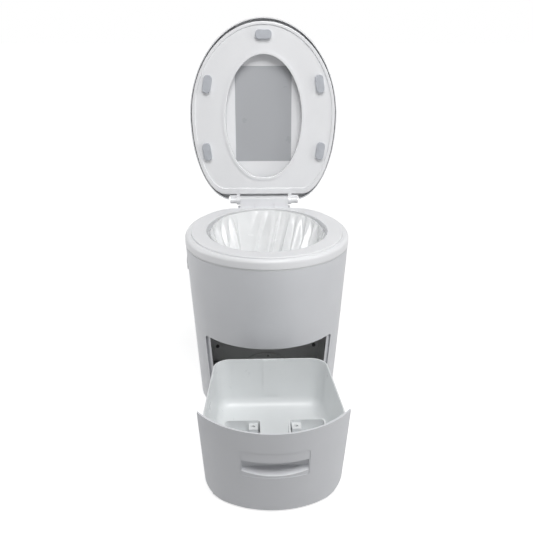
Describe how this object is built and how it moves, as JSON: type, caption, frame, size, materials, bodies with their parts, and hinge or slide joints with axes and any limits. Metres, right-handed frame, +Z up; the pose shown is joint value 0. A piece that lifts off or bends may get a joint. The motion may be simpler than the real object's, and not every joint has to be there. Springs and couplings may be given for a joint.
{
  "type": "camping toilet",
  "caption": "Tapered pedestal camping toilet with raised seat and lid, a film liner bag sealed inside and a waste drawer drawn out in front.",
  "frame": {"origin": "floor level, under the middle of the whole object with its drawer out and its lid up", "axes": "+Z up, +Y to the back, +X to the right as seen from the front"},
  "size_m": [0.37, 0.7838, 0.8577],
  "materials": {
    "body_plastic": "satin",
    "ring_plastic": "satin",
    "trim_plastic": "satin",
    "seat_plastic": "gloss",
    "tray_plastic": "satin",
    "chamber_plastic": "matt",
    "inner_plastic": "matt",
    "gear_plastic": "satin",
    "bumper_rubber": "matt",
    "foot_rubber": "matt",
    "roller_rubber": "matt",
    "silicone": "matt",
    "bag_film": "gloss",
    "steel": "brushed",
    "jaw_metal": "satin",
    "board": "satin",
    "battery": "matt",
    "label_film": "satin",
    "button_plastic": "satin"
  },
  "bodies": {
    "root": {"body_shell": "body_plastic", "base_frame": "inner_plastic", "rubber_feet": "foot_rubber", "drawer_chamber": "chamber_plastic", "chamber_screws": "foot_rubber", "sensor_cover": "chamber_plastic", "mid_deck": "inner_plastic", "seam_trim": "trim_plastic", "top_ring": "ring_plastic", "cover_ring": "ring_plastic", "film_cassette": "inner_plastic", "film_pack": "bag_film", "liner_bag": "bag_film", "side_plates": "steel", "rod_bar": "jaw_metal", "guide_rods": "steel", "fixed_jaw": "jaw_metal", "heater_strip": "steel", "seal_motor": "steel", "feed_motor": "steel", "motor_brackets": "steel", "battery_pack": "battery", "battery_tray": "inner_plastic", "battery_door": "body_plastic", "control_board": "board", "board_posts": "inner_plastic", "dc_socket": "foot_rubber", "control_bezel": "trim_plastic", "button_switch": "inner_plastic", "hinge_bracket": "body_plastic", "hinge_screws": "steel", "hinge_block": "ring_plastic", "hinge_pin": "steel"},
    "seal_jaw": {"moving_jaw": "jaw_metal", "silicone_pad": "silicone", "jaw_rack": "gear_plastic"},
    "seal_gear": {"seal_pinion": "gear_plastic"},
    "front_feed": {"front_roller": "roller_rubber", "front_roller_shaft": "steel", "front_roller_gear": "gear_plastic"},
    "rear_feed": {"rear_roller": "roller_rubber", "rear_roller_shaft": "steel", "rear_roller_gear": "gear_plastic"},
    "feed_gear": {"feed_pinion": "gear_plastic"},
    "button": {"flush_button": "button_plastic"},
    "lid": {"lid_shell": "seat_plastic", "lid_arms": "seat_plastic", "lid_label": "label_film", "lid_buffers": "bumper_rubber"},
    "seat": {"seat_ring": "seat_plastic", "seat_arms": "seat_plastic", "seat_bumpers": "bumper_rubber"},
    "drawer": {"drawer_panel": "body_plastic", "drawer_tray": "tray_plastic", "panel_screws": "steel", "handle_insert": "body_plastic", "drawer_glides": "foot_rubber"}
  },
  "joints": [
    {"name": "lid_hinge", "type": "hinge", "parent": "root", "child": "lid", "pos_m": [0, 0.34116, 0.411], "axis": [-1, 0, 0], "range_deg": [-93, 0]},
    {"name": "seat_hinge", "type": "hinge", "parent": "lid", "child": "seat", "pos_m": [0, 0.34116, 0.411], "axis": [1, 0, 0], "range_deg": [0, 93]},
    {"name": "drawer_slide", "type": "slide", "parent": "root", "child": "drawer", "axis": [0, 1, 0], "range_m": [0, 0.314]},
    {"name": "button_press", "type": "slide", "parent": "root", "child": "button", "axis": [1, 0, 0], "range_m": [0, 0.002], "stiffness_N_per_m": 400},
    {"name": "jaw_slide", "type": "slide", "parent": "root", "child": "seal_jaw", "axis": [0, 1, 0], "range_m": [0, 0.01571]},
    {"name": "seal_gear_spin", "type": "hinge", "parent": "root", "child": "seal_gear", "pos_m": [0.06, 0.04016, 0.21935], "axis": [1, 0, 0], "range_deg": [0, 150.5]},
    {"name": "front_feed_spin", "type": "hinge", "parent": "root", "child": "front_feed", "pos_m": [0, 0.09586, 0.257], "axis": [1, 0, 0], "continuous": true},
    {"name": "rear_feed_spin", "type": "hinge", "parent": "root", "child": "rear_feed", "pos_m": [0, 0.11646, 0.257], "axis": [1, 0, 0], "continuous": true},
    {"name": "feed_gear_spin", "type": "hinge", "parent": "root", "child": "feed_gear", "pos_m": [0, 0.07951, 0.257], "axis": [1, 0, 0], "continuous": true}
  ],
  "couplings": [
    {"joint": "seal_gear_spin", "follows": "jaw_slide", "rad_per_m": 166.67},
    {"joint": "rear_feed_spin", "follows": "front_feed_spin", "ratio": -1},
    {"joint": "feed_gear_spin", "follows": "front_feed_spin", "ratio": -1.6667}
  ]
}
